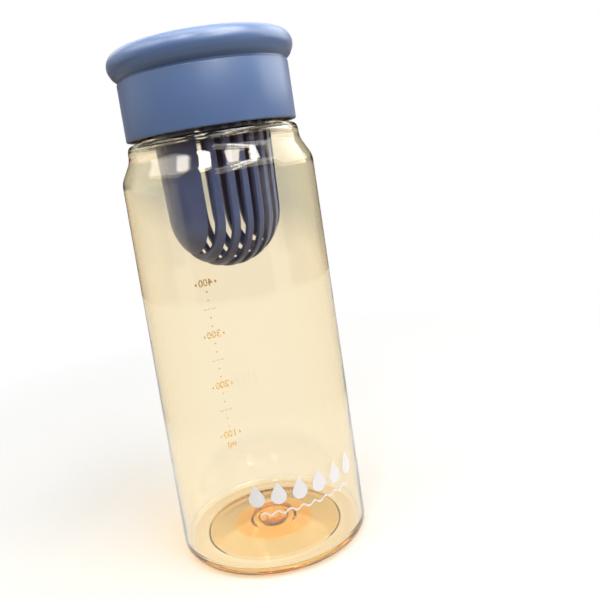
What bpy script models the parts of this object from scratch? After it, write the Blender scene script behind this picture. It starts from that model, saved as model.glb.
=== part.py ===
"""Clear wide-mouth drinking bottle with a screw lid and a tea infuser basket under the lid.

Run it with blender --background --python part.py, or from Blender's text editor.
Lengths are in metres and +Z is up. The origin is the centre of the foot, on the ground.
The pieces are turned about the bottle's axis, so every object has its origin on that axis:
the bottle, a round seal, the lid's cover and threaded liner, and the slotted basket.
"""

import math

import bmesh
import bpy
from mathutils import Matrix, Vector

MM = 0.001

# Clearances
TOUCH_GAP = 0.3 * MM  # between two pieces that touch each other
OVERRUN = 2.0 * MM  # how far a cutter reaches past what it cuts
THREAD_SINK = 0.4 * MM  # how deep a thread's root is buried in its wall

# Smoothness of the turned shapes
ROUND_STEPS = 48
CHORD_ERROR = 0.07 * MM  # how far a fillet's flats may lie inside its arc
MERGE_DISTANCE = 0.01 * MM
FILLET_EDGE_SHARE = 0.96  # of an edge, which its two fillets may use up

# Bottle body
BASE_RADIUS = 39.0 * MM
BODY_TAPER = 1.4 * MM  # how much narrower the body is at its shoulder
BODY_HEIGHT = 153.5 * MM  # ground to the shoulder's edge
BODY_WALL = 2.0 * MM
LEDGE_WALL = 1.2 * MM
HEEL_FILLET = 4.0 * MM
SHOULDER_RISE = 7.6 * MM
SHOULDER_FILLET = 8.0 * MM
COLLAR_HEIGHT = 5.9 * MM  # straight band between the shoulder and the ledge
COLLAR_STEP = 0.2 * MM  # how far the collar stands out past the lid's skirt
LEDGE_INSET = 0.6 * MM  # how much narrower the collar is at the ledge
LEDGE_FILLET = 2.2 * MM
COLLAR_EASE = 5.0 * MM  # fillet between the collar's band and its top taper

# Bottle foot
FOOT_WIDTH = 6.3 * MM  # flat ring that the bottle stands on
FOOT_DEPTH = 0.9 * MM  # how high the foot's hollow starts
FOOT_FILLET = 0.4 * MM
FOOT_SLOPE = 0.6 * MM
FLOOR_WALL = 2.4 * MM
FLOOR_FILLET = 2.0 * MM  # between the floor and the wall, inside
FLOOR_RISE = 0.6 * MM  # how much the floor climbs to its thick middle
DISC_RADIUS = 16.6 * MM  # thick disc in the middle of the floor
DISC_WALL = 4.4 * MM
DISC_SLOPE = 7.0 * MM  # width of the disc's sloping rim
DISC_FILLET = 9.0 * MM
DISC_FOOT_FILLET = 0.6 * MM
WELL_RADIUS = 9.4 * MM  # sunk ring round the moulding gate, on the underside
WELL_RISE = 1.4 * MM
BOSS_RADIUS = 6.0 * MM  # round boss inside the sunk ring
BOSS_DROP = 0.7 * MM
GATE_RADIUS = 2.8 * MM
GATE_DROP = 0.5 * MM

# Bottle neck and its thread
NECK_RADIUS = 28.0 * MM
NECK_WALL = 2.0 * MM
NECK_HEIGHT = 18.0 * MM  # ledge to lip
LIP_FILLET = 0.6 * MM
THREAD_DEPTH = 1.2 * MM
THREAD_STARTS = 2
THREAD_LEAD = 8.0 * MM  # rise of the lid in one turn
THREAD_ROOT_SHARE = 0.52  # of the pitch, for the width of a thread's root
THREAD_CREST_SHARE = 0.22  # of the pitch, for the width of its crest
THREAD_FADE_SHARE = 0.08  # of the thread's length, at each end
THREAD_END_SHARE = 0.08  # of a thread's depth, which its faded ends keep
THREAD_OFFSET_SHARE = 0.35  # of a step round the axis, so that edges don't coincide
THREAD_MARGIN = 0.4 * MM  # liner's edge to the lowest point of its thread
THREAD_HEADROOM = 4.4 * MM  # top end of the neck's thread to the lip
FLANK_GAP = 0.4 * MM  # along the axis, between the two threads

# Lid liner, which carries the lid's own thread
LINER_WALL = 1.6 * MM
LINER_RECESS = 1.0 * MM  # how far the liner's edge sits above the skirt's edge
ROOF_WALL = 2.0 * MM
SPIGOT_LENGTH = 8.0 * MM  # ring under the roof that the basket pushes onto
SPIGOT_WALL = 1.8 * MM
EDGE_FILLET = 0.4 * MM

# Lid seal
SEAL_THICKNESS = 2.0 * MM
SEAL_OVERHANG = 0.8 * MM  # how far it reaches inside the neck's bore

# Lid cover
LID_GAP = 1.3 * MM  # between the skirt's edge and the bottle's ledge
COVER_WALL = 1.9 * MM
COVER_DRAFT = 0.2 * MM  # how much narrower the skirt is at its top
COVER_EDGE_FILLET = 0.5 * MM
CREASE_ABOVE_LINER = 0.2 * MM
CREASE_DEPTH = 0.4 * MM  # how deep the groove under the roll is
CREASE_HEIGHT = 1.0 * MM
CREASE_EDGE_FILLET = 0.2 * MM
UNDERCUT_WIDTH = 1.3 * MM  # how far the roll's foot stands out past the skirt
UNDERCUT_RISE = 1.4 * MM  # groove to the roll's foot
UNDERCUT_FILLET = 3.0 * MM
ROLL_RADIUS = 5.2 * MM
ROLL_RISE = 11.6 * MM  # crease to crown
ROLL_FLARE = math.radians(62)  # slope of the roll's underside
RIM_WIDTH = 7.8 * MM  # skirt line in to the edge of the dished top
DISH_DEPTH = 1.5 * MM
DISH_FALL = 2.0 * MM  # width of the slope into the dish
DISH_FILLET = 2.5 * MM
TOP_WALL = 2.2 * MM
CAVITY_FILLET = 3.0 * MM
WELD_RING_RADIUS = 15.0 * MM  # ring that joins the cover's top to the liner's roof
WELD_RING_WALL = 1.6 * MM

# Infuser basket
BASKET_CLEARANCE = 1.9 * MM  # between the basket and the seal's bore
BASKET_WALL = 1.8 * MM
BASKET_STRAIGHT = 50.2 * MM  # rim to where the round bottom starts
BASKET_DRAFT = 1.2 * MM  # how much narrower it is where the round bottom starts
BASKET_BAND = 16.3 * MM  # unslotted band below the rim
SLOT_COUNT = 7
SLOT_SHARE = 0.5  # of the pitch from one slot to the next
END_PANEL = 6.8 * MM  # depth of the solid side past the last slot
SLOT_HEADING = math.radians(31.5)  # how far the row of slots is turned from +X
DOME_STEPS = 8

# Sizes that follow from those above
FOOT_RING_RADIUS = BASE_RADIUS - HEEL_FILLET - FOOT_WIDTH
NECK_BORE = NECK_RADIUS - NECK_WALL
THREAD_CREST_RADIUS = NECK_RADIUS + THREAD_DEPTH
LINER_BORE = THREAD_CREST_RADIUS + TOUCH_GAP
LINER_RADIUS = LINER_BORE + LINER_WALL
COVER_BORE = LINER_RADIUS + TOUCH_GAP
SKIRT_RADIUS = COVER_BORE + COVER_WALL
CREASE_RADIUS = SKIRT_RADIUS - COVER_DRAFT
COLLAR_RADIUS = SKIRT_RADIUS + COLLAR_STEP
LEDGE_RADIUS = COLLAR_RADIUS - LEDGE_INSET
SHOULDER_RADIUS = BASE_RADIUS - BODY_TAPER
SEAL_BORE = NECK_BORE - SEAL_OVERHANG
BASKET_RADIUS = SEAL_BORE - BASKET_CLEARANCE
BASKET_BORE = BASKET_RADIUS - BASKET_WALL
SPIGOT_RADIUS = BASKET_BORE - TOUCH_GAP

COLLAR_FOOT_Z = BODY_HEIGHT + SHOULDER_RISE
LEDGE_Z = COLLAR_FOOT_Z + COLLAR_HEIGHT
LIP_Z = LEDGE_Z + NECK_HEIGHT
LID_Z = LEDGE_Z + LID_GAP
SEAL_Z = LIP_Z + TOUCH_GAP
ROOF_Z = SEAL_Z + SEAL_THICKNESS + TOUCH_GAP
BASKET_Z = ROOF_Z - TOUCH_GAP
LINER_TOP_Z = ROOF_Z + ROOF_WALL
CREASE_Z = LINER_TOP_Z + CREASE_ABOVE_LINER
CROWN_Z = CREASE_Z + ROLL_RISE
LINER_EDGE_Z = LID_Z + LINER_RECESS

THREAD_PITCH = THREAD_LEAD / THREAD_STARTS
THREAD_ROOT_WIDTH = THREAD_PITCH * THREAD_ROOT_SHARE
THREAD_CREST_WIDTH = THREAD_PITCH * THREAD_CREST_SHARE
FLANK_SLOPE = (THREAD_ROOT_WIDTH - THREAD_CREST_WIDTH) / 2 / (THREAD_DEPTH + THREAD_SINK)
FLANK_REACH = THREAD_ROOT_WIDTH - FLANK_SLOPE * (TOUCH_GAP + THREAD_DEPTH + 2 * THREAD_SINK)
LINER_THREAD_Z = LINER_EDGE_Z + THREAD_MARGIN + THREAD_ROOT_WIDTH / 2
NECK_THREAD_Z = LINER_THREAD_Z + FLANK_REACH + FLANK_GAP
THREAD_TURNS = (LIP_Z - THREAD_HEADROOM - NECK_THREAD_Z) / THREAD_LEAD


def empty_scene():
    for old in list(bpy.data.objects):
        bpy.data.objects.remove(old)


def new_collection(name):
    made = bpy.data.collections.new(name)
    bpy.context.scene.collection.children.link(made)
    return made


def plastic(name, colour, roughness, transmission=0.0):
    """A Principled material of one colour, given in linear RGB."""
    made = bpy.data.materials.new(name)
    made.use_nodes = True
    shader = made.node_tree.nodes["Principled BSDF"]
    shader.inputs["Base Color"].default_value = (*colour, 1)
    shader.inputs["Roughness"].default_value = roughness
    shader.inputs["Metallic"].default_value = 0
    shader.inputs["Transmission Weight"].default_value = transmission
    made.diffuse_color = (*colour, 1 - transmission / 2)
    return made


def rounded_outline(corners, closed=False):
    """Outline points from (radius, height, fillet) corners, with each fillet as an arc.

    Where two fillets would meet on an edge, both are made smaller.
    """
    places = [Vector(corner[:2]) for corner in corners]
    count = len(corners)
    reaches = []
    for index, corner in enumerate(places):
        back = places[index - 1] - corner
        ahead = places[(index + 1) % count] - corner
        on_axis = not closed and index in (0, count - 1)
        reaches.append(0 if on_axis else corners[index][2] / math.tan(back.angle(ahead) / 2))
    points = []
    for index, corner in enumerate(places):
        if reaches[index] <= 0:
            points.append(corner)
            continue
        reach = reaches[index]
        for beside in (index - 1, (index + 1) % count):
            room = (places[beside] - corner).length * FILLET_EDGE_SHARE
            reach = min(reach, reaches[index] * room / (reaches[index] + reaches[beside]))
        points.extend(fillet_arc(places[index - 1], corner, places[(index + 1) % count], reach))
    return points


def fillet_arc(before, corner, after, reach):
    """Points of the arc that leaves one edge and joins the other at this reach from the corner."""
    back = (before - corner).normalized()
    ahead = (after - corner).normalized()
    centre = corner + (back + ahead).normalized() * (reach / math.cos(back.angle(ahead) / 2))
    first = corner + back * reach - centre
    final = corner + ahead * reach - centre
    sweep = math.atan2(first.cross(final), first.dot(final))
    flat = 2 * math.acos(1 - min(1, CHORD_ERROR / first.length))
    steps = math.ceil(abs(sweep) / flat)
    start = math.atan2(first.y, first.x)
    turns = [start + sweep * step / steps for step in range(steps + 1)]
    return [centre + Vector((math.cos(turn), math.sin(turn))) * first.length for turn in turns]


def turned(name, outline, height, material, axis=None, closed=False):
    """A solid turned from its outline about the axis, with its origin at the given height.

    The outline runs down the outer side and up the inner one. The axis is the empty that carries it.
    """
    mesh = bpy.data.meshes.new(name)
    count = len(outline)
    edges = [(i, i + 1) for i in range(count - 1)] + ([(count - 1, 0)] if closed else [])
    mesh.from_pydata([(point.x, 0, point.y - height) for point in outline], edges, [])
    made = bpy.data.objects.new(name, mesh)
    made.parent = axis
    made.location = (0, 0, height - (axis["height"] if axis else 0))
    parts.objects.link(made)
    mesh.materials.append(material)
    screw = made.modifiers.new("Turn", "SCREW")
    screw.axis = "Z"
    screw.angle = math.tau
    screw.steps = screw.render_steps = ROUND_STEPS
    screw.use_merge_vertices = True
    screw.merge_threshold = MERGE_DISTANCE
    screw.use_smooth_shade = True
    return made


def hide_as_cutter(cutter):
    cutter.hide_render = True
    cutter.display_type = "WIRE"


def boolean(target, cutter, operation):
    """Joins or cuts the target with a helper object, which stays hidden."""
    change = target.modifiers.new(cutter.name, "BOOLEAN")
    change.operation = operation
    change.solver = "EXACT"
    change.object = cutter


def thread_ridge(name, root_radius, crest_radius, start_height, start_angle):
    """One start of a thread: a tapered ridge spun up a right-hand helix, faded at both ends."""
    spread = THREAD_ROOT_WIDTH / 2
    crest = THREAD_CREST_WIDTH / 2
    section = [(root_radius, -spread), (crest_radius, -crest), (crest_radius, crest), (root_radius, spread)]
    steps = round(ROUND_STEPS * THREAD_TURNS)
    bm = bmesh.new()
    ring = [bm.verts.new((radius, 0, height)) for radius, height in section]
    sides = [bm.edges.new((ring[i - 1], ring[i])) for i in range(len(ring))]
    bmesh.ops.spin(
        bm,
        geom=[*ring, *sides],
        cent=(0, 0, 0),
        axis=(0, 0, 1),
        dvec=(0, 0, THREAD_LEAD * THREAD_TURNS / steps),
        angle=math.tau * THREAD_TURNS,
        steps=steps,
    )
    bmesh.ops.holes_fill(bm, edges=bm.edges, sides=len(section))
    for vertex in bm.verts:
        radius = vertex.co.xy.length
        if abs(radius - crest_radius) < THREAD_SINK / 2:
            share = vertex.co.z / (THREAD_LEAD * THREAD_TURNS)
            to_end = max(0, min(share, 1 - share)) / THREAD_FADE_SHARE
            full = root_radius + (crest_radius - root_radius) * min(1, to_end + THREAD_END_SHARE)
            vertex.co.xy *= full / radius
    bmesh.ops.rotate(bm, verts=bm.verts, cent=(0, 0, 0), matrix=Matrix.Rotation(start_angle, 3, "Z"))
    bmesh.ops.recalc_face_normals(bm, faces=bm.faces)
    mesh = bpy.data.meshes.new(name)
    bm.to_mesh(mesh)
    bm.free()
    ridge = bpy.data.objects.new(name, mesh)
    ridge.location = (0, 0, start_height)
    cutters.objects.link(ridge)
    hide_as_cutter(ridge)
    return ridge


def add_threads(target, root_radius, crest_radius, start_height):
    """Unites all the starts of one thread with their wall, evenly round the axis."""
    for start in range(THREAD_STARTS):
        ridge = thread_ridge(
            f"{target.name}_thread_{start + 1}",
            root_radius,
            crest_radius,
            start_height,
            math.tau * (start / THREAD_STARTS + THREAD_OFFSET_SHARE / ROUND_STEPS),
        )
        boolean(target, ridge, "UNION")


def bottle_body():
    """The one-piece bottle: hollow foot, thick gate disc, tapered body, shoulder, ledge and threaded neck."""
    inner_radius = BASE_RADIUS - BODY_WALL
    floor_z = FOOT_DEPTH + FLOOR_WALL
    disc_z = FOOT_DEPTH + FLOOR_RISE
    well_z = disc_z + WELL_RISE
    boss_z = well_z - BOSS_DROP
    gate_z = boss_z - GATE_DROP
    inner_collar = COLLAR_RADIUS - BODY_WALL
    under_ledge = LEDGE_Z - LEDGE_WALL
    corners = [
        (0, disc_z + DISC_WALL, 0),
        (DISC_RADIUS - DISC_SLOPE, disc_z + DISC_WALL, DISC_FILLET),
        (DISC_RADIUS, disc_z + FLOOR_WALL, DISC_FOOT_FILLET),
        (inner_radius, floor_z, FLOOR_FILLET),
        (SHOULDER_RADIUS - BODY_WALL, BODY_HEIGHT - BODY_WALL / 2, SHOULDER_FILLET),
        (inner_collar, COLLAR_FOOT_Z - BODY_WALL / 2, SHOULDER_FILLET),
        (inner_collar, under_ledge, LEDGE_FILLET),
        (NECK_BORE, under_ledge, LIP_FILLET),
        (NECK_BORE, LIP_Z, LIP_FILLET),
        (NECK_RADIUS, LIP_Z, LIP_FILLET),
        (NECK_RADIUS, LEDGE_Z, LIP_FILLET),
        (LEDGE_RADIUS, LEDGE_Z, LEDGE_FILLET),
        (COLLAR_RADIUS, (LEDGE_Z + COLLAR_FOOT_Z) / 2, COLLAR_EASE),
        (COLLAR_RADIUS, COLLAR_FOOT_Z, SHOULDER_FILLET),
        (SHOULDER_RADIUS, BODY_HEIGHT, SHOULDER_FILLET),
        (BASE_RADIUS, 0, HEEL_FILLET),
        (FOOT_RING_RADIUS, 0, FOOT_FILLET),
        (FOOT_RING_RADIUS - FOOT_SLOPE, FOOT_DEPTH, FOOT_FILLET),
        (WELL_RADIUS, disc_z, 0),
        (WELL_RADIUS - WELL_RISE / 2, well_z, 0),
        (BOSS_RADIUS + BOSS_DROP / 2, well_z, 0),
        (BOSS_RADIUS, boss_z, 0),
        (GATE_RADIUS + GATE_DROP / 2, boss_z, 0),
        (GATE_RADIUS, gate_z, 0),
        (0, gate_z, 0),
    ]
    made = turned("bottle_body", rounded_outline(corners), 0, clear_amber)
    add_threads(made, NECK_RADIUS - THREAD_SINK, THREAD_CREST_RADIUS, NECK_THREAD_Z)


def lid_liner(lid):
    """The liner inside the lid: threaded wall, roof and the spigot that holds the basket."""
    spigot_bore = SPIGOT_RADIUS - SPIGOT_WALL
    spigot_end = ROOF_Z - SPIGOT_LENGTH
    corners = [
        (0, LINER_TOP_Z, 0),
        (LINER_RADIUS, LINER_TOP_Z, EDGE_FILLET),
        (LINER_RADIUS, LINER_EDGE_Z, EDGE_FILLET),
        (LINER_BORE, LINER_EDGE_Z, EDGE_FILLET),
        (LINER_BORE, ROOF_Z, 0),
        (SPIGOT_RADIUS, ROOF_Z, 0),
        (SPIGOT_RADIUS, spigot_end, EDGE_FILLET),
        (spigot_bore, spigot_end, EDGE_FILLET),
        (spigot_bore, ROOF_Z, 0),
        (0, ROOF_Z, 0),
    ]
    made = turned("lid_liner", rounded_outline(corners), LINER_EDGE_Z, dark_blue, lid)
    add_threads(made, LINER_BORE + THREAD_SINK, NECK_RADIUS + TOUCH_GAP, LINER_THREAD_Z)


def lid_cover(lid):
    """The moulded outer shell: straight skirt, rolled rim and shallow dished top."""
    dish_z = CROWN_Z - DISH_DEPTH
    under_z = dish_z - TOP_WALL
    dish_radius = CREASE_RADIUS - RIM_WIDTH
    groove_z = CREASE_Z + CREASE_HEIGHT
    ring_end = LINER_TOP_Z + TOUCH_GAP
    ring_bore = WELD_RING_RADIUS - WELD_RING_WALL
    corners = [
        (0, dish_z, 0),
        (dish_radius, dish_z, DISH_FILLET),
        (dish_radius + DISH_FALL, CROWN_Z, DISH_FILLET),
        (CREASE_RADIUS + ROLL_RISE / math.tan(ROLL_FLARE), CROWN_Z, ROLL_RADIUS),
        (CREASE_RADIUS + UNDERCUT_WIDTH, groove_z + UNDERCUT_RISE, UNDERCUT_FILLET),
        (CREASE_RADIUS - CREASE_DEPTH, groove_z, 0),
        (CREASE_RADIUS - CREASE_DEPTH, CREASE_Z, 0),
        (CREASE_RADIUS, CREASE_Z, CREASE_EDGE_FILLET),
        (SKIRT_RADIUS, LID_Z, COVER_EDGE_FILLET),
        (COVER_BORE, LID_Z, EDGE_FILLET),
        (COVER_BORE, under_z, CAVITY_FILLET),
        (WELD_RING_RADIUS, under_z, 0),
        (WELD_RING_RADIUS, ring_end, 0),
        (ring_bore, ring_end, 0),
        (ring_bore, under_z, 0),
        (0, under_z, 0),
    ]
    turned("lid_cover", rounded_outline(corners), LID_Z, periwinkle, lid)


def lid_seal():
    """The flat ring between the liner's roof and the bottle's lip."""
    outer = LINER_BORE - TOUCH_GAP
    top = SEAL_Z + SEAL_THICKNESS
    corners = [
        (outer, top, EDGE_FILLET),
        (outer, SEAL_Z, EDGE_FILLET),
        (SEAL_BORE, SEAL_Z, EDGE_FILLET),
        (SEAL_BORE, top, EDGE_FILLET),
    ]
    turned("lid_seal", rounded_outline(corners, True), SEAL_Z, silicone, closed=True)


def dome(radius, centre_height):
    """Quarter circle from the pole at the bottom of the basket up to its straight wall."""
    quarter = math.pi / 2
    return [
        Vector((
            radius * math.sin(quarter * step / DOME_STEPS),
            centre_height - radius * math.cos(quarter * step / DOME_STEPS),
        ))
        for step in range(DOME_STEPS + 1)
    ]


def infuser_basket(basket):
    """The basket: a thimble with a round bottom, slotted into ribs that run under the bottom."""
    dome_z = BASKET_Z - BASKET_STRAIGHT
    dome_radius = BASKET_RADIUS - BASKET_DRAFT
    rim = [Vector((BASKET_BORE, BASKET_Z)), Vector((BASKET_RADIUS, BASKET_Z))]
    outline = dome(dome_radius - BASKET_WALL, dome_z) + rim + dome(dome_radius, dome_z)[::-1]
    made = turned("infuser_basket", outline, BASKET_Z, dark_blue, basket)
    boolean(made, slot_cutter(dome_z - dome_radius), "DIFFERENCE")


def slot_cutter(bottom):
    """A row of upright slabs, one for each slot, that cut from below up to the plain band."""
    field = 2 * (BASKET_RADIUS - END_PANEL)
    pitch = field / (SLOT_COUNT - 1 + SLOT_SHARE)
    top = BASKET_Z - BASKET_BAND
    height = top - bottom + OVERRUN
    bm = bmesh.new()
    bmesh.ops.create_cube(bm, size=1)
    bmesh.ops.scale(bm, vec=(pitch * SLOT_SHARE, 2 * (BASKET_RADIUS + OVERRUN), height), verts=bm.verts)
    bmesh.ops.translate(bm, vec=(-pitch * (SLOT_COUNT - 1) / 2, 0, 0), verts=bm.verts)
    mesh = bpy.data.meshes.new("basket_slots")
    bm.to_mesh(mesh)
    bm.free()
    cutter = bpy.data.objects.new("basket_slots", mesh)
    cutter.location = (0, 0, top - height / 2)
    cutter.rotation_euler = (0, 0, SLOT_HEADING)
    row = cutter.modifiers.new("Row", "ARRAY")
    row.count = SLOT_COUNT
    row.use_relative_offset = False
    row.use_constant_offset = True
    row.constant_offset_displace = (pitch, 0, 0)
    cutters.objects.link(cutter)
    hide_as_cutter(cutter)
    return cutter


def axis_empty(name, height, parent=None):
    """An empty on the bottle's axis that carries the pieces of one moving body."""
    made = bpy.data.objects.new(name, None)
    made.parent = parent
    made.location = (0, 0, height - (parent["height"] if parent else 0))
    made["height"] = height
    parts.objects.link(made)
    return made


empty_scene()
parts = new_collection("infuser_bottle")
cutters = new_collection("cutters")
clear_amber = plastic("clear_amber_copolyester", (0.84, 0.72, 0.45), 0.05, 0.9)
periwinkle = plastic("periwinkle_polypropylene", (0.20, 0.26, 0.47), 0.42)
dark_blue = plastic("slate_blue_polypropylene", (0.13, 0.16, 0.27), 0.40)
silicone = plastic("translucent_silicone", (0.72, 0.72, 0.70), 0.55)

lid_axis = axis_empty("lid_axis", LID_Z)
basket_axis = axis_empty("basket_axis", BASKET_Z, lid_axis)
bottle_body()
lid_seal()
lid_cover(lid_axis)
lid_liner(lid_axis)
infuser_basket(basket_axis)
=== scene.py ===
"""Looks of a clear drinking bottle with a screw lid and an infuser basket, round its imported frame.

Lengths are in metres. The bottle stands on its foot at the origin, and its printed front faces -Y.
"""

import math

import bmesh
import bpy
from mathutils import Matrix, Quaternion, Vector


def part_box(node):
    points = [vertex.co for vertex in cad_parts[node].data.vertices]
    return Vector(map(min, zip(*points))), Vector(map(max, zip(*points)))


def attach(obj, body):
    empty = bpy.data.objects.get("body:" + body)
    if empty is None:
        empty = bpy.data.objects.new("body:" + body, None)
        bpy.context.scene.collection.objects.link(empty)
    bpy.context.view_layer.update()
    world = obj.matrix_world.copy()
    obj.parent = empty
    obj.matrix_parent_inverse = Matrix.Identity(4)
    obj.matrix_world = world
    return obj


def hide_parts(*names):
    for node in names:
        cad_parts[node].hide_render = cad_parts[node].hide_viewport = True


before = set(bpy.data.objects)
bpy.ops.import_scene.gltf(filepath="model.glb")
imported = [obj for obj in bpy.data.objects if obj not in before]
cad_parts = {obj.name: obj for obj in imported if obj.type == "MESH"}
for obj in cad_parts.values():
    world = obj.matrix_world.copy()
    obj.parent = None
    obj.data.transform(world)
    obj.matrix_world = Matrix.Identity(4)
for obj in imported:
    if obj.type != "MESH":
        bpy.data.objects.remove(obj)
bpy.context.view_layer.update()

# Bottle: one piece of clear amber copolyester, blown and then trimmed. Its foot is hollow, its floor is thick
# round the moulding gate, its straight wall tapers a little, and above the shoulder a plain collar ends in
# the ledge that the lid comes down to. The two-start thread on its neck is hidden by the lid.
MM = 0.001
TURN_STEPS = 192
CHORD_ERROR = 0.01 * MM
MERGE_DISTANCE = 0.001 * MM
SMOOTH_ANGLE = math.radians(38)

BASE_RADIUS = 39.0 * MM
BODY_TAPER = 1.4 * MM
BODY_HEIGHT = 153.5 * MM
BODY_WALL = 2.0 * MM
LEDGE_WALL = 1.2 * MM
HEEL_FILLET = 4.0 * MM
SHOULDER_RISE = 7.6 * MM
SHOULDER_FILLET = 8.0 * MM
COLLAR_HEIGHT = 5.9 * MM
COLLAR_RADIUS = 33.5 * MM
COLLAR_EASE = 5.0 * MM
LEDGE_RADIUS = 32.9 * MM
LEDGE_FILLET = 2.2 * MM
FOOT_RING_RADIUS = 28.7 * MM
FOOT_DEPTH = 0.9 * MM
FOOT_FILLET = 0.4 * MM
FOOT_SLOPE = 0.6 * MM
FLOOR_WALL = 2.4 * MM
FLOOR_FILLET = 2.0 * MM
FLOOR_RISE = 0.6 * MM
DISC_RADIUS = 16.6 * MM
DISC_WALL = 4.4 * MM
DISC_SLOPE = 7.0 * MM
DISC_FILLET = 9.0 * MM
DISC_FOOT_FILLET = 0.6 * MM
WELL_RADIUS = 9.4 * MM
WELL_RISE = 1.4 * MM
BOSS_RADIUS = 6.0 * MM
BOSS_DROP = 0.7 * MM
GATE_RADIUS = 2.8 * MM
GATE_DROP = 0.5 * MM
STEP_FILLET = 0.25 * MM
NECK_RADIUS = 28.0 * MM
NECK_BORE = 26.0 * MM
LIP_FILLET = 0.6 * MM
THREAD_ROW = 0.22 * MM  # height of one row of faces where a wall carries a thread
WALL_TOLERANCE = 0.1 * MM  # how far off its radius a point still counts as on the threaded wall
SHOULDER_RADIUS = BASE_RADIUS - BODY_TAPER
LIP_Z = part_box("bottle_body")[1].z
COLLAR_FOOT_Z = BODY_HEIGHT + SHOULDER_RISE
LEDGE_Z = COLLAR_FOOT_Z + COLLAR_HEIGHT

THREAD_DEPTH = 1.2 * MM
THREAD_STARTS = 2
THREAD_LEAD = 8.0 * MM
THREAD_ROOT_SHARE = 0.52
THREAD_CREST_SHARE = 0.22
THREAD_FADE_SHARE = 0.08
THREAD_HEADROOM = 4.4 * MM
THREAD_MARGIN = 0.4 * MM
LINER_EDGE_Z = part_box("lid_liner")[0].z
THREAD_PITCH = THREAD_LEAD / THREAD_STARTS
THREAD_SINK = 0.4 * MM
TOUCH_GAP = 0.3 * MM
FLANK_GAP = 0.4 * MM
THREAD_ROOT_WIDTH = THREAD_PITCH * THREAD_ROOT_SHARE
THREAD_CREST_WIDTH = THREAD_PITCH * THREAD_CREST_SHARE
FLANK_SLOPE = (THREAD_ROOT_WIDTH - THREAD_CREST_WIDTH) / 2 / (THREAD_DEPTH + THREAD_SINK)
FLANK_REACH = THREAD_ROOT_WIDTH - FLANK_SLOPE * (TOUCH_GAP + THREAD_DEPTH + 2 * THREAD_SINK)
LINER_THREAD_Z = LINER_EDGE_Z + THREAD_MARGIN + THREAD_ROOT_WIDTH / 2
NECK_THREAD_Z = LINER_THREAD_Z + FLANK_REACH + FLANK_GAP
THREAD_TURNS = (LIP_Z - THREAD_HEADROOM - NECK_THREAD_Z) / THREAD_LEAD


def fillet_arc(before, corner, after, reach):
    """Points of the arc that leaves one edge and joins the other at this reach from the corner."""
    back = (before - corner).normalized()
    ahead = (after - corner).normalized()
    centre = corner + (back + ahead).normalized() * (reach / math.cos(back.angle(ahead) / 2))
    first = corner + back * reach - centre
    final = corner + ahead * reach - centre
    sweep = math.atan2(first.cross(final), first.dot(final))
    flat = 2 * math.acos(1 - min(1, CHORD_ERROR / first.length))
    steps = math.ceil(abs(sweep) / flat)
    start = math.atan2(first.y, first.x)
    turns = [start + sweep * step / steps for step in range(steps + 1)]
    return [centre + Vector((math.cos(turn), math.sin(turn))) * first.length for turn in turns]


def rounded_outline(corners, closed=False):
    """Outline points from (radius, height, fillet) corners. Fillets that meet on an edge share it."""
    fill = 0.96  # share of an edge that the fillets at its ends may take up
    places = [Vector(corner[:2]) for corner in corners]
    count = len(corners)
    reaches = []
    for index, corner in enumerate(places):
        back = places[index - 1] - corner
        ahead = places[(index + 1) % count] - corner
        on_axis = not closed and index in (0, count - 1)
        reaches.append(0 if on_axis else corners[index][2] / math.tan(back.angle(ahead) / 2))
    points = []
    for index, corner in enumerate(places):
        if reaches[index] <= 0:
            points.append(corner)
            continue
        reach = reaches[index]
        for beside in (index - 1, (index + 1) % count):
            room = (places[beside] - corner).length * fill
            reach = min(reach, reaches[index] * room / (reaches[index] + reaches[beside]))
        points.extend(fillet_arc(places[index - 1], corner, places[(index + 1) % count], reach))
    return points


def with_rows(outline, low, high, row):
    """The outline with more points on its upright stretches between two heights."""
    points = []
    for point, following in zip(outline, outline[1:] + outline[:1]):
        points.append(point)
        upright = abs(point.x - following.x) < MERGE_DISTANCE
        if upright and min(point.y, following.y) < high and max(point.y, following.y) > low:
            rows = math.ceil(abs(following.y - point.y) / row)
            points.extend(point.lerp(following, step / rows) for step in range(1, rows))
    return points


def link(name, data):
    """A new object in the scene that holds this data."""
    made = bpy.data.objects.new(name, data)
    bpy.context.scene.collection.objects.link(made)
    return made


def turned(name, outline, closed=False):
    """An object whose outline a Screw modifier turns about the bottle's axis."""
    mesh = bpy.data.meshes.new(name)
    count = len(outline)
    edges = [(i, i + 1) for i in range(count - 1)] + ([(count - 1, 0)] if closed else [])
    mesh.from_pydata([(point.x, 0, point.y) for point in outline], edges, [])
    made = link(name, mesh)
    screw = made.modifiers.new("Turn", "SCREW")
    screw.axis = "Z"
    screw.angle = math.tau
    screw.steps = screw.render_steps = TURN_STEPS
    screw.use_merge_vertices = True
    screw.merge_threshold = MERGE_DISTANCE
    screw.use_smooth_shade = True
    return made


def feed(tree, node, inputs):
    """Gives a node's inputs their values, or links them to a socket or to another node's first output."""
    for key, value in inputs.items():
        if isinstance(value, bpy.types.Node):
            value = value.outputs[0]
        if isinstance(value, bpy.types.NodeSocket):
            tree.links.new(value, node.inputs[key])
        else:
            node.inputs[key].default_value = value


def add_node(tree, kind, inputs=None, **settings):
    """A new node with its settings, and with its inputs fed."""
    made = tree.nodes.new(kind)
    for name, value in settings.items():
        setattr(made, name, value)
    feed(tree, made, inputs or {})
    return made


def new_tree(name, sizes):
    """A geometry tree with a named input for each size, and its group input node."""
    tree = bpy.data.node_groups.new(name, "GeometryNodeTree")
    tree.interface.new_socket("Geometry", in_out="INPUT", socket_type="NodeSocketGeometry")
    tree.interface.new_socket("Geometry", in_out="OUTPUT", socket_type="NodeSocketGeometry")
    for size, kind in sizes.items():
        tree.interface.new_socket(size, in_out="INPUT", socket_type=f"NodeSocket{kind}")
    return tree, add_node(tree, "NodeGroupInput").outputs


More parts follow.
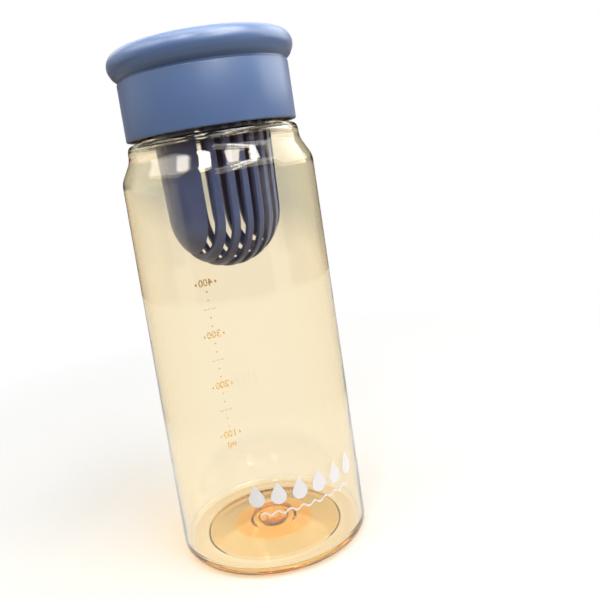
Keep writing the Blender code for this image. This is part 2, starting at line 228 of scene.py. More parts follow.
def use_tree(piece, tree, values):
    """Puts the tree on the piece as a modifier, with its inputs set by their identifiers."""
    modifier = piece.modifiers.new(tree.name, "NODES")
    modifier.node_group = tree
    for item in tree.interface.items_tree:
        if item.in_out == "INPUT" and item.name in values:
            modifier[item.identifier] = values[item.name]


def finish_mesh(piece, material=None):
    """Turns the piece's modifiers into plain mesh, smooth but for its sharp edges."""
    bpy.context.view_layer.update()
    evaluated = piece.evaluated_get(bpy.context.evaluated_depsgraph_get())
    mesh = bpy.data.meshes.new_from_object(evaluated)
    piece.modifiers.clear()
    piece.data = mesh
    if material:
        mesh.materials.clear()
        mesh.materials.append(material)
    mesh.shade_smooth()
    mesh.set_sharp_from_angle(angle=SMOOTH_ANGLE)
    return piece


def helical_thread():
    """Tree that pushes a turned wall in or out into a thread of several starts, faded at its ends."""
    tree, size = new_tree("helical_thread", {
        "Wall Radius": "Float",
        "Depth": "Float",
        "Start Height": "Float",
        "Lead": "Float",
        "Starts": "Int",
        "Turns": "Float",
        "Root Width": "Float",
        "Crest Width": "Float",
        "Fade": "Float",
        "Plastic": "Material",
    })
    place = add_node(tree, "GeometryNodeInputPosition")
    xyz = add_node(tree, "ShaderNodeSeparateXYZ", {0: place}).outputs
    flat = add_node(tree, "ShaderNodeCombineXYZ", {0: xyz[0], 1: xyz[1]})
    radius = add_node(tree, "ShaderNodeVectorMath", {0: flat}, operation="LENGTH").outputs["Value"]
    outward = add_node(tree, "ShaderNodeVectorMath", {0: flat}, operation="NORMALIZE")
    angle = add_node(tree, "ShaderNodeMath", {0: xyz[1], 1: xyz[0]}, operation="ARCTAN2")
    part_turn = add_node(tree, "ShaderNodeMath", {0: angle, 1: math.tau}, operation="DIVIDE")
    rise = add_node(tree, "ShaderNodeMath", {0: xyz[2], 1: size["Start Height"]}, operation="SUBTRACT")
    leads = add_node(tree, "ShaderNodeMath", {0: rise, 1: size["Lead"]}, operation="DIVIDE")
    behind = add_node(tree, "ShaderNodeMath", {0: leads, 1: part_turn}, operation="SUBTRACT")
    ridges = add_node(tree, "ShaderNodeMath", {0: behind, 1: size["Starts"]}, operation="MULTIPLY")
    nearest = add_node(tree, "ShaderNodeMath", {0: ridges}, operation="ROUND")
    off = add_node(tree, "ShaderNodeMath", {0: ridges, 1: nearest}, operation="SUBTRACT")
    off_turns = add_node(tree, "ShaderNodeMath", {0: off, 1: size["Starts"]}, operation="DIVIDE")
    along = add_node(tree, "ShaderNodeMath", {0: leads, 1: off_turns}, operation="SUBTRACT")
    left = add_node(tree, "ShaderNodeMath", {0: size["Turns"], 1: along}, operation="SUBTRACT")
    to_end = add_node(tree, "ShaderNodeMath", {0: along, 1: left}, operation="MINIMUM")
    fade = add_node(tree, "ShaderNodeMapRange", {"Value": to_end, "From Max": size["Fade"]})
    off_length = add_node(tree, "ShaderNodeMath", {0: off_turns, 1: size["Lead"]}, operation="MULTIPLY")
    aside = add_node(tree, "ShaderNodeMath", {0: off_length}, operation="ABSOLUTE")
    root = add_node(tree, "ShaderNodeMath", {0: size["Root Width"], 1: 0.5}, operation="MULTIPLY")
    crest = add_node(tree, "ShaderNodeMath", {0: size["Crest Width"], 1: 0.5}, operation="MULTIPLY")
    height = add_node(tree, "ShaderNodeMapRange", {
        "Value": aside,
        "From Min": root,
        "From Max": crest,
        "To Max": size["Depth"],
    })
    faded = add_node(tree, "ShaderNodeMath", {0: height, 1: fade}, operation="MULTIPLY")
    shift = add_node(tree, "ShaderNodeVectorMath", {0: outward, "Scale": faded}, operation="SCALE")
    on_wall = add_node(tree, "FunctionNodeCompare", {
        0: radius,
        1: size["Wall Radius"],
        "Epsilon": WALL_TOLERANCE,
    }, operation="EQUAL")
    moved = add_node(tree, "GeometryNodeSetPosition", {
        "Geometry": size["Geometry"],
        "Selection": on_wall,
        "Offset": shift,
    })
    real = add_node(tree, "GeometryNodeRealizeInstances", {0: moved})
    finished = add_node(tree, "GeometryNodeSetMaterial", {0: real, "Material": size["Plastic"]})
    add_node(tree, "NodeGroupOutput", {0: finished})
    return tree


def srgb(code, alpha=1.0):
    """Linear RGBA of an sRGB hex value."""
    parts = [int(code[i:i + 2], 16) / 255 for i in (1, 3, 5)]
    return (*(part / 12.92 if part <= 0.04045 else ((part + 0.055) / 1.055) ** 2.4 for part in parts), alpha)


def new_material(name):
    """A new material with its node tree and its Principled shader."""
    made = bpy.data.materials.new(name)
    made.use_nodes = True
    return made, made.node_tree, made.node_tree.nodes["Principled BSDF"]


# Copolyester, blow moulded and glossy: it looks like thin amber glass, deepest where the eye looks along the
# wall or through the thick foot, whose heel, floor and gate disc each gather light of a deeper tint. Faint
# ripples of the mould and the blowing bend the reflections, and a slight smear leaves them not quite sharp.
SURFACE_TINT = "#FFFEFB"
WALL_TINT = "#F8D747"
TINT_DENSITY = 114
HEEL_TINT = "#FBEFDE"
FLOOR_TINT = "#F0D29A"
DISC_TINT = "#FFC45E"
LAMPLIGHT_TINT = "#F8F5EC"
TINT_EDGE = 0.4 * MM
TINT_TOP = 2 * DISC_WALL  # the floor's tints hold below this height
RIPPLE_LENGTH = 14 * MM
RIPPLE_HEIGHT = 0.12 * MM
SMEARS_PER_RIPPLE = 3
COPOLYESTER_IOR = 1.57


def clear_amber_copolyester():
    """Clear plastic that tints what passes through it, and lets lamplight through without bending it."""
    made, tree, shader = new_material("clear_amber_copolyester")
    place = add_node(tree, "ShaderNodeTexCoord").outputs["Object"]
    ripple = add_node(tree, "ShaderNodeTexNoise", {"Vector": place, "Scale": 1 / RIPPLE_LENGTH, "Detail": 1})
    smear = add_node(tree, "ShaderNodeTexNoise", {
        "Vector": place,
        "Scale": SMEARS_PER_RIPPLE / RIPPLE_LENGTH,
        "Detail": 4,
    })
    rough = add_node(tree, "ShaderNodeMapRange", {"Value": smear, "To Min": 0.01, "To Max": 0.05})
    bump = add_node(tree, "ShaderNodeBump", {
        "Height": ripple,
        "Strength": 0.25,
        "Distance": RIPPLE_HEIGHT,
    })
    flat = add_node(tree, "ShaderNodeVectorMath", {0: place, 1: (1, 1, 0)}, operation="MULTIPLY")
    off_axis = add_node(tree, "ShaderNodeVectorMath", {0: flat}, operation="LENGTH").outputs["Value"]
    z = add_node(tree, "ShaderNodeSeparateXYZ", {0: place}).outputs["Z"]
    low = add_node(tree, "ShaderNodeMath", {0: z, 1: TINT_TOP}, operation="LESS_THAN")
    tint = srgb(SURFACE_TINT)
    floor_radius = BASE_RADIUS - BODY_WALL - FLOOR_FILLET / 2
    for radius, code in ((floor_radius, HEEL_TINT), (FOOT_RING_RADIUS, FLOOR_TINT), (DISC_RADIUS, DISC_TINT)):
        inside = add_node(tree, "ShaderNodeMapRange", {
            "Value": off_axis,
            "From Min": radius + TINT_EDGE,
            "From Max": radius - TINT_EDGE,
        })
        share = add_node(tree, "ShaderNodeMath", {0: inside, 1: low}, operation="MULTIPLY")
        tint = add_node(tree, "ShaderNodeMixRGB", {0: share, 1: tint, 2: srgb(code)})
    feed(tree, shader, {
        "Base Color": tint,
        "Roughness": rough,
        "Normal": bump,
        "Transmission Weight": 1,
        "IOR": COPOLYESTER_IOR,
    })
    lamp_ray = add_node(tree, "ShaderNodeLightPath").outputs["Is Shadow Ray"]
    lets_through = add_node(tree, "ShaderNodeBsdfTransparent", {"Color": srgb(LAMPLIGHT_TINT)})
    mix = add_node(tree, "ShaderNodeMixShader", {0: lamp_ray, 1: shader, 2: lets_through})
    absorb = add_node(tree, "ShaderNodeVolumeAbsorption", {"Color": srgb(WALL_TINT), "Density": TINT_DENSITY})
    feed(tree, tree.nodes["Material Output"], {"Surface": mix, "Volume": absorb})
    return made


inner_radius = BASE_RADIUS - BODY_WALL
floor_z = FOOT_DEPTH + FLOOR_WALL
disc_z = FOOT_DEPTH + FLOOR_RISE
well_z = disc_z + WELL_RISE
boss_z = well_z - BOSS_DROP
gate_z = boss_z - GATE_DROP
inner_collar = COLLAR_RADIUS - BODY_WALL
under_ledge = LEDGE_Z - LEDGE_WALL
bottle_outline = rounded_outline([
    (0, disc_z + DISC_WALL, 0),
    (DISC_RADIUS - DISC_SLOPE, disc_z + DISC_WALL, DISC_FILLET),
    (DISC_RADIUS, disc_z + FLOOR_WALL, DISC_FOOT_FILLET),
    (inner_radius, floor_z, FLOOR_FILLET),
    (SHOULDER_RADIUS - BODY_WALL, BODY_HEIGHT - BODY_WALL / 2, SHOULDER_FILLET),
    (inner_collar, COLLAR_FOOT_Z - BODY_WALL / 2, SHOULDER_FILLET),
    (inner_collar, under_ledge, LEDGE_FILLET),
    (NECK_BORE, under_ledge, LIP_FILLET),
    (NECK_BORE, LIP_Z, LIP_FILLET),
    (NECK_RADIUS, LIP_Z, LIP_FILLET),
    (NECK_RADIUS, LEDGE_Z, LIP_FILLET),
    (LEDGE_RADIUS, LEDGE_Z, LEDGE_FILLET),
    (COLLAR_RADIUS, (LEDGE_Z + COLLAR_FOOT_Z) / 2, COLLAR_EASE),
    (COLLAR_RADIUS, COLLAR_FOOT_Z, SHOULDER_FILLET),
    (SHOULDER_RADIUS, BODY_HEIGHT, SHOULDER_FILLET),
    (BASE_RADIUS, 0, HEEL_FILLET),
    (FOOT_RING_RADIUS, 0, FOOT_FILLET),
    (FOOT_RING_RADIUS - FOOT_SLOPE, FOOT_DEPTH, FOOT_FILLET),
    (WELL_RADIUS, disc_z, STEP_FILLET),
    (WELL_RADIUS - WELL_RISE / 2, well_z, STEP_FILLET),
    (BOSS_RADIUS + BOSS_DROP / 2, well_z, STEP_FILLET),
    (BOSS_RADIUS, boss_z, STEP_FILLET),
    (GATE_RADIUS + GATE_DROP / 2, boss_z, STEP_FILLET),
    (GATE_RADIUS, gate_z, STEP_FILLET),
    (0, gate_z, 0),
])
thread = helical_thread()
thread_sizes = {
    "Lead": THREAD_LEAD,
    "Starts": THREAD_STARTS,
    "Turns": THREAD_TURNS,
    "Fade": THREAD_TURNS * THREAD_FADE_SHARE,
    "Root Width": THREAD_ROOT_WIDTH,
    "Crest Width": THREAD_CREST_WIDTH,
}
bottle = turned("clear_bottle", with_rows(bottle_outline, LEDGE_Z, LIP_Z, THREAD_ROW))
use_tree(bottle, thread, {
    **thread_sizes,
    "Wall Radius": NECK_RADIUS,
    "Depth": THREAD_DEPTH,
    "Start Height": NECK_THREAD_Z,
    "Plastic": clear_amber_copolyester(),
})
finish_mesh(bottle)
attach(bottle, "bottle")
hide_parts("bottle_body")

# Printed marks: epoxy screen ink on the outside of the bottle, baked on after moulding. The volume scale is
# on the back, and so its numbers read backwards through the bottle. The front has a band of plain drops over
# a wavy line.
INK_THICKNESS = 0.05 * MM
INK_LIFT = 0.03 * MM
INK_MERGE = INK_THICKNESS / 20
SCALE_DIRECTION = math.radians(112.3)
SCALE_ZERO_Z = 5.6 * MM
HUNDRED_RISE = 24.6 * MM
HUNDREDS = 4
SCALE_STEPS = 6
DIGIT_HEIGHT = 3.4 * MM
DIGIT_WEIGHT = 0.08 * MM
DIGIT_SHARE = 0.7  # a digit's height as a share of the font's size
UNIT_DROP = 5.2 * MM
ARROW_TIP = 5.8 * MM
ARROW_FOOT = 4.6 * MM
ARROW_HALF_WIDTH = 0.9 * MM
DOT_RADIUS = 0.42 * MM
DOT_SIDES = 16
DASH_LENGTH = 1.5 * MM
DASH_WIDTH = 0.35 * MM
DASH_PITCH = 2.3 * MM
FRONT_DIRECTION = math.radians(-67)
DROP_COUNT = 6
DROP_PITCH = 8.3 * MM
DROP_WIDTH = 6.0 * MM
DROP_HEIGHT = 8.8 * MM
DROP_STEPS = 20
ROUND_START = 150  # degrees at which a drop's round bottom begins
ROUND_SWEEP = 240
DROPS_Z = 33.8 * MM
WAVE_Z = 26.2 * MM
WAVE_LENGTH = 5.0 * MM
WAVE_HEIGHT = 1.2 * MM
WAVE_WIDTH = 0.7 * MM
WAVE_COUNT = 8
WAVE_STEPS = 12
SCREEN_GRAIN = 0.5 * MM  # the real screen's mesh is nearer 0.1 mm, which is too fine to show
THIN_INK = 0.96  # brightness of the ink where it is thinnest


def printed_wrap():
    """Tree that lays flat shapes round the tapered body and gives the ink its thickness."""
    tree, size = new_tree("printed_wrap", {
        "Direction": "Float",
        "Foot Radius": "Float",
        "Shoulder Radius": "Float",
        "Shoulder Height": "Float",
        "Lift": "Float",
        "Thickness": "Float",
        "Cuts": "Int",
        "Ink": "Material",
    })
    finer = add_node(tree, "GeometryNodeSubdivideMesh", {0: size["Geometry"], 1: size["Cuts"]})
    place = add_node(tree, "GeometryNodeInputPosition")
    xyz = add_node(tree, "ShaderNodeSeparateXYZ", {0: place}).outputs
    wall = add_node(tree, "ShaderNodeMapRange", {
        "Value": xyz[1],
        "From Max": size["Shoulder Height"],
        "To Min": size["Foot Radius"],
        "To Max": size["Shoulder Radius"],
    })
    radius = add_node(tree, "ShaderNodeMath", {0: wall, 1: size["Lift"]}, operation="ADD")
    swing = add_node(tree, "ShaderNodeMath", {0: xyz[0], 1: wall}, operation="DIVIDE")
    angle = add_node(tree, "ShaderNodeMath", {0: swing, 1: size["Direction"]}, operation="ADD")
    ahead = add_node(tree, "ShaderNodeCombineXYZ", {0: radius, 2: xyz[1]})
    wrapped = add_node(
        tree, "ShaderNodeVectorRotate", {"Vector": ahead, "Angle": angle}, rotation_type="Z_AXIS"
    )
    laid = add_node(tree, "GeometryNodeSetPosition", {
        "Geometry": finer,
        "Position": wrapped,
    })
    raised = add_node(tree, "GeometryNodeExtrudeMesh", {
        "Mesh": laid,
        "Offset Scale": size["Thickness"],
        "Individual": False,
    })
    under = add_node(tree, "GeometryNodeFlipFaces", {0: laid})
    both = add_node(tree, "GeometryNodeJoinGeometry")
    for sheet in (raised, under):
        feed(tree, both, {0: sheet})
    closed = add_node(tree, "GeometryNodeMergeByDistance", {0: both, "Distance": INK_MERGE})
    real = add_node(tree, "GeometryNodeRealizeInstances", {0: closed})
    inked = add_node(tree, "GeometryNodeSetMaterial", {0: real, "Material": size["Ink"]})
    add_node(tree, "NodeGroupOutput", {0: inked})
    return tree


def scale_marks():
    """Tree for the marks between the numbers: a dot at each step and a broken line half way."""
    tree, size = new_tree("scale_marks", {
        "Hundreds": "Int",
        "Steps": "Int",
        "Rise": "Float",
        "Lowest": "Float",
        "Dot Radius": "Float",
        "Dash Length": "Float",
        "Dash Width": "Float",
        "Dash Pitch": "Float",
        "Ink": "Material",
    })
    count = add_node(tree, "ShaderNodeMath", {0: size["Hundreds"], 1: size["Steps"]}, operation="MULTIPLY")
    step = add_node(tree, "ShaderNodeMath", {0: size["Rise"], 1: size["Steps"]}, operation="DIVIDE")
    up = add_node(tree, "ShaderNodeCombineXYZ", {1: step})
    low = add_node(tree, "ShaderNodeCombineXYZ", {1: size["Lowest"]})
    line = add_node(tree, "GeometryNodeMeshLine", {
        "Count": count,
        "Start Location": low,
        "Offset": up,
    })
    index = add_node(tree, "GeometryNodeInputIndex")
    turn = add_node(tree, "ShaderNodeMath", {0: index, 1: size["Steps"]}, operation="MODULO")
    half = add_node(tree, "ShaderNodeMath", {0: size["Steps"], 1: 2}, operation="DIVIDE")
    at_number = add_node(tree, "FunctionNodeCompare", {0: turn, 1: 0.0}, operation="EQUAL")
    at_half = add_node(tree, "FunctionNodeCompare", {0: turn, 1: half}, operation="EQUAL")
    at_dot = add_node(tree, "FunctionNodeBooleanMath", {0: at_number, 1: at_half}, operation="NOR")
    dot = add_node(tree, "GeometryNodeMeshCircle", {
        "Vertices": DOT_SIDES,
        "Radius": size["Dot Radius"],
    }, fill_type="NGON")
    dots = add_node(tree, "GeometryNodeInstanceOnPoints", {
        "Points": line,
        "Selection": at_dot,
        "Instance": dot,
    })
    dash = add_node(tree, "GeometryNodeMeshGrid", {
        "Size X": size["Dash Length"],
        "Size Y": size["Dash Width"],
        "Vertices X": 4,
        "Vertices Y": 2,
    })
    back = add_node(tree, "ShaderNodeMath", {0: size["Dash Pitch"], 1: -1}, operation="MULTIPLY")
    dash_start = add_node(tree, "ShaderNodeCombineXYZ", {0: back})
    dash_step = add_node(tree, "ShaderNodeCombineXYZ", {0: size["Dash Pitch"]})
    three = add_node(tree, "GeometryNodeMeshLine", {
        "Count": 3,
        "Start Location": dash_start,
        "Offset": dash_step,
    })
    broken = add_node(tree, "GeometryNodeInstanceOnPoints", {
        "Points": three,
        "Instance": dash,
    })
    lines = add_node(tree, "GeometryNodeInstanceOnPoints", {
        "Points": line,
        "Selection": at_half,
        "Instance": broken,
    })
    marks = add_node(tree, "GeometryNodeJoinGeometry")
    for source in (dots, lines, size["Geometry"]):
        feed(tree, marks, {0: source})
    real = add_node(tree, "GeometryNodeRealizeInstances", {0: marks})
    inked = add_node(tree, "GeometryNodeSetMaterial", {0: real, "Material": size["Ink"]})
    add_node(tree, "NodeGroupOutput", {0: inked})
    return tree


def flat_text(words, height, centre):
    """Vertices and faces of plain figures, centred on a place of the flat print."""
    curve = bpy.data.curves.new("figures", "FONT")
    curve.body = words
    curve.size = height / DIGIT_SHARE
    curve.offset = DIGIT_WEIGHT
    curve.resolution_u = 3
    curve.align_x = "CENTER"
    curve.align_y = "CENTER"
    curve.fill_mode = "FRONT"
    holder = link("figures", curve)
    bpy.context.view_layer.update()
    mesh = bpy.data.meshes.new_from_object(holder.evaluated_get(bpy.context.evaluated_depsgraph_get()))
    bpy.data.objects.remove(holder)
    mesh.transform(Matrix.Translation((*centre, 0)))
    return mesh


def add_polygon(bm, points):
    """Adds one flat face to the print, from the places of its corners."""
    bm.faces.new([bm.verts.new((*point, 0)) for point in points])


def drop_outline(across):
    """A round-bottomed drop with its point up, standing at this place along the row."""
    half = DROP_WIDTH / 2
    belly = DROPS_Z - DROP_HEIGHT / 2 + half
    points = [(across, DROPS_Z + DROP_HEIGHT / 2)]
    for step in range(DROP_STEPS + 1):
        turn = math.radians(ROUND_START + ROUND_SWEEP * step / DROP_STEPS)
        points.append((across + half * math.cos(turn), belly + half * math.sin(turn)))
    return points


def wave_middle():
    """Points along the middle of the wavy line."""
    steps = WAVE_COUNT * WAVE_STEPS
    points = []
    for step in range(steps + 1):
        across = (step / steps - 0.5) * WAVE_COUNT * WAVE_LENGTH
        up = WAVE_Z + WAVE_HEIGHT / 2 * math.sin(math.tau * across / WAVE_LENGTH)
        points.append((across, up))
    return points


def screen_ink(name, code):
    """Epoxy ink: matt, a little uneven where the mesh of the screen left it thinner."""
    made, tree, shader = new_material(name)
    place = add_node(tree, "ShaderNodeTexCoord").outputs["Object"]
    grain = add_node(tree, "ShaderNodeTexNoise", {"Vector": place, "Scale": 1 / SCREEN_GRAIN, "Detail": 3})
    thin = [part * THIN_INK for part in srgb(code)[:3]] + [1]
    shade = add_node(tree, "ShaderNodeMixRGB", {0: grain, 1: srgb(code), 2: thin})
    feed(tree, shader, {"Base Color": shade, "Roughness": 0.55})
    return made


wrap = printed_wrap()
wrap_sizes = {
    "Foot Radius": BASE_RADIUS,
    "Shoulder Radius": SHOULDER_RADIUS,
    "Shoulder Height": BODY_HEIGHT,
    "Lift": INK_LIFT,
    "Thickness": INK_THICKNESS,
}
arrow = [(ARROW_TIP, 0), (ARROW_FOOT, ARROW_HALF_WIDTH), (ARROW_FOOT, -ARROW_HALF_WIDTH)]
flat = bmesh.new()
for hundreds in range(1, HUNDREDS + 1):
    height = SCALE_ZERO_Z + hundreds * HUNDRED_RISE
    flat.from_mesh(flat_text(str(100 * hundreds), DIGIT_HEIGHT, (0, height)))
    for side in (-1, 1):
        points = [(side * x, height + y) for x, y in arrow]
        add_polygon(flat, points[::side])
flat.from_mesh(flat_text("ml", DIGIT_HEIGHT, (0, SCALE_ZERO_Z + HUNDRED_RISE - UNIT_DROP)))
mesh = bpy.data.meshes.new("volume_scale_print")
flat.to_mesh(mesh)
flat.free()
volume_scale = link("volume_scale_print", mesh)
cream_ink = screen_ink("cream_epoxy_ink", "#EFE9DC")
use_tree(volume_scale, scale_marks(), {
    "Hundreds": HUNDREDS - 1,
    "Steps": SCALE_STEPS,
    "Rise": HUNDRED_RISE,
    "Lowest": SCALE_ZERO_Z + HUNDRED_RISE,
    "Dot Radius": DOT_RADIUS,
    "Dash Length": DASH_LENGTH,
    "Dash Width": DASH_WIDTH,
    "Dash Pitch": DASH_PITCH,
    "Ink": cream_ink,
})
use_tree(volume_scale, wrap, {
    **wrap_sizes,
    "Direction": SCALE_DIRECTION,
    "Ink": cream_ink,
})
finish_mesh(volume_scale)
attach(volume_scale, "bottle")

flat = bmesh.new()
for place in range(DROP_COUNT):
    add_polygon(flat, drop_outline((place - (DROP_COUNT - 1) / 2) * DROP_PITCH))
lower = [flat.verts.new((x, y - WAVE_WIDTH / 2, 0)) for x, y in wave_middle()]
upper = [flat.verts.new((x, y + WAVE_WIDTH / 2, 0)) for x, y in wave_middle()]
for i in range(len(lower) - 1):
    flat.faces.new((lower[i], lower[i + 1], upper[i + 1], upper[i]))
mesh = bpy.data.meshes.new("front_drops_print")
flat.to_mesh(mesh)
flat.free()
front_drops = link("front_drops_print", mesh)
use_tree(front_drops, wrap, {
    **wrap_sizes,
    "Cuts": 2,
    "Direction": FRONT_DIRECTION,
    "Ink": screen_ink("shell_pink_epoxy_ink", "#FFFAF8"),
})
finish_mesh(front_drops)
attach(front_drops, "bottle")

# Lid cover: one satin polypropylene moulding, periwinkle blue. A straight skirt runs up to a tight crease,
# over which the rim rolls out and back in to the top.
LID_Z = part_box("lid_cover")[0].z
CROWN_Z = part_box("lid_cover")[1].z
COVER_BORE = 31.4 * MM
SKIRT_RADIUS = 33.3 * MM
CREASE_RADIUS = 33.1 * MM
CREASE_RISE = 21.5 * MM
CREASE_DEPTH = 0.4 * MM
CREASE_HEIGHT = 1.0 * MM
CREASE_EDGE_FILLET = 0.2 * MM
UNDERCUT_WIDTH = 1.3 * MM
UNDERCUT_RISE = 1.4 * MM
UNDERCUT_FILLET = 3.0 * MM
ROLL_RADIUS = 5.2 * MM
ROLL_FLARE = math.radians(62)
RIM_WIDTH = 7.8 * MM
DISH_DEPTH = 1.5 * MM
DISH_FALL = 2.0 * MM
DISH_FILLET = 2.5 * MM
TOP_WALL = 2.2 * MM
CAVITY_FILLET = 3.0 * MM
COVER_EDGE_FILLET = 0.5 * MM
CREASE_Z = LID_Z + CREASE_RISE
WELD_RING_RADIUS = 15.0 * MM
WELD_RING_WALL = 1.6 * MM
LINER_TOP_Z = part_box("lid_liner")[1].z

# Polypropylene, injection moulded. A spark-eroded mould leaves a fine satin grain, which softens the
# highlights and shows a pale haze where the eye looks along the surface.
CLOUD_LENGTH = 18 * MM
CLOUD_DEPTH = 0.9  # brightness of the colour in the darkest clouds
GRAIN_WIDTH = 0.35 * MM  # the real grain is nearer 0.05 mm, which is too fine to show
GRAIN_HEIGHT = 0.02 * MM
GRAIN_ROUGHNESS = 0.06
POLYPROPYLENE_IOR = 1.49


def satin_polypropylene(name, code, roughness, haze=0):
    """Satin plastic in this colour, a little cloudy as moulded pigment is."""
    made, tree, shader = new_material(name)
    place = add_node(tree, "ShaderNodeTexCoord").outputs["Object"]
    cloud = add_node(tree, "ShaderNodeTexNoise", {"Vector": place, "Scale": 1 / CLOUD_LENGTH, "Detail": 3})
    grain = add_node(tree, "ShaderNodeTexNoise", {"Vector": place, "Scale": 1 / GRAIN_WIDTH, "Detail": 2})
    deep = [part * CLOUD_DEPTH for part in srgb(code)[:3]] + [1]
    colour = add_node(tree, "ShaderNodeMixRGB", {0: cloud, 1: srgb(code), 2: deep})
    rough = add_node(tree, "ShaderNodeMapRange", {
        "Value": grain,
        "To Min": roughness - GRAIN_ROUGHNESS,
        "To Max": roughness + GRAIN_ROUGHNESS,
    })
    bump = add_node(tree, "ShaderNodeBump", {
        "Height": grain,
        "Strength": 0.2,
        "Distance": GRAIN_HEIGHT,
    })
    feed(tree, shader, {
        "Base Color": colour,
        "Roughness": rough,
        "Normal": bump,
        "IOR": POLYPROPYLENE_IOR,
        "Specular IOR Level": 1.0,
        "Sheen Weight": haze,
        "Sheen Roughness": 0.4,
    })
    return made


dish_z = CROWN_Z - DISH_DEPTH
under_z = dish_z - TOP_WALL
dish_radius = CREASE_RADIUS - RIM_WIDTH
ring_end = LINER_TOP_Z + TOUCH_GAP
cover_outline = rounded_outline([
    (0, dish_z, 0),
    (dish_radius, dish_z, DISH_FILLET),
    (dish_radius + DISH_FALL, CROWN_Z, DISH_FILLET),
    (CREASE_RADIUS + (CROWN_Z - CREASE_Z) / math.tan(ROLL_FLARE), CROWN_Z, ROLL_RADIUS),
    (CREASE_RADIUS + UNDERCUT_WIDTH, CREASE_Z + CREASE_HEIGHT + UNDERCUT_RISE, UNDERCUT_FILLET),
    (CREASE_RADIUS - CREASE_DEPTH, CREASE_Z + CREASE_HEIGHT, 0),
    (CREASE_RADIUS - CREASE_DEPTH, CREASE_Z, 0),
    (CREASE_RADIUS, CREASE_Z, CREASE_EDGE_FILLET),
    (SKIRT_RADIUS, LID_Z, COVER_EDGE_FILLET),
    (COVER_BORE, LID_Z, COVER_EDGE_FILLET),
    (COVER_BORE, under_z, CAVITY_FILLET),
    (WELD_RING_RADIUS, under_z, 0),
    (WELD_RING_RADIUS, ring_end, 0),
    (WELD_RING_RADIUS - WELD_RING_WALL, ring_end, 0),
    (WELD_RING_RADIUS - WELD_RING_WALL, under_z, 0),
    (0, under_z, 0),
])
cover = turned("lid_cover_moulding", cover_outline)
finish_mesh(cover, satin_polypropylene("periwinkle_polypropylene", "#5974A0", 0.33, haze=0.25))
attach(cover, "lid")
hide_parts("lid_cover")

# Lid liner: the threaded cup inside the cover, of the same plastic as the cover. Its blue is painted darker,
# as painted shade for the dim light inside the lid and the bottle. It carries the thread, the roof that
# presses the seal on the lip, and the spigot that the basket pushes onto.
LINER_BORE = 29.5 * MM
LINER_RADIUS = 31.1 * MM
ROOF_WALL = 2.0 * MM
SPIGOT_LENGTH = 8.0 * MM
SPIGOT_WALL = 1.8 * MM
SPIGOT_RADIUS = 21.2 * MM
LINER_EDGE_FILLET = 0.4 * MM
roof_z = LINER_TOP_Z - ROOF_WALL
spigot_end = roof_z - SPIGOT_LENGTH
spigot_bore = SPIGOT_RADIUS - SPIGOT_WALL
liner_outline = rounded_outline([
    (0, LINER_TOP_Z, 0),
    (LINER_RADIUS, LINER_TOP_Z, LINER_EDGE_FILLET),
    (LINER_RADIUS, LINER_EDGE_Z, LINER_EDGE_FILLET),
    (LINER_BORE, LINER_EDGE_Z, LINER_EDGE_FILLET),
    (LINER_BORE, roof_z, LINER_EDGE_FILLET),
    (SPIGOT_RADIUS, roof_z, LINER_EDGE_FILLET),
    (SPIGOT_RADIUS, spigot_end, LINER_EDGE_FILLET),
    (spigot_bore, spigot_end, LINER_EDGE_FILLET),
    (spigot_bore, roof_z, LINER_EDGE_FILLET),
    (0, roof_z, 0),
])
# The cover's blue, painted darker as painted shade for the dim inside of the lid and the bottle.
shaded_inner_blue = satin_polypropylene("slate_blue_polypropylene", "#3F5698", 0.34)
liner = turned("lid_liner_moulding", with_rows(liner_outline, LINER_EDGE_Z, roof_z, THREAD_ROW))
use_tree(liner, thread, {
    **thread_sizes,
    "Wall Radius": LINER_BORE,
    "Depth": -THREAD_DEPTH,
    "Start Height": LINER_THREAD_Z,
    "Plastic": shaded_inner_blue,
})
finish_mesh(liner)
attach(liner, "lid")
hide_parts("lid_liner")

# Seal: a flat ring of translucent silicone, press moulded. It lies loose under the liner's roof, round the
# spigot, and the lid presses it on the bottle's lip.
SEAL_BORE = 25.2 * MM
SEAL_EDGE_FILLET = 0.4 * MM
MILKY_CLOUD = 4 * MM
LIGHT_REACH = 2 * MM
SILICONE_IOR = 1.41
seal_low, seal_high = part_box("lid_seal")
seal_outline = rounded_outline([
    (LINER_BORE - TOUCH_GAP, seal_high.z, SEAL_EDGE_FILLET),
    (LINER_BORE - TOUCH_GAP, seal_low.z, SEAL_EDGE_FILLET),
    (SEAL_BORE, seal_low.z, SEAL_EDGE_FILLET),
    (SEAL_BORE, seal_high.z, SEAL_EDGE_FILLET),
], closed=True)


def translucent_silicone():
    """Silicone: milky, matt and soft looking, because light enters and spreads in it."""
    made, tree, shader = new_material("translucent_silicone")
    place = add_node(tree, "ShaderNodeTexCoord").outputs["Object"]
    cloud = add_node(tree, "ShaderNodeTexNoise", {"Vector": place, "Scale": 1 / MILKY_CLOUD, "Detail": 3})
    colour = add_node(tree, "ShaderNodeMixRGB", {0: cloud, 1: srgb("#E2E1DC"), 2: srgb("#CFCEC8")})
    feed(tree, shader, {
        "Base Color": colour,
        "Roughness": 0.5,
        "Subsurface Weight": 0.3,
        "Subsurface Scale": LIGHT_REACH,
        "IOR": SILICONE_IOR,
    })
    return made


seal = turned("silicone_seal_ring", seal_outline, closed=True)
finish_mesh(seal, translucent_silicone())
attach(seal, "seal")
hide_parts("lid_seal")
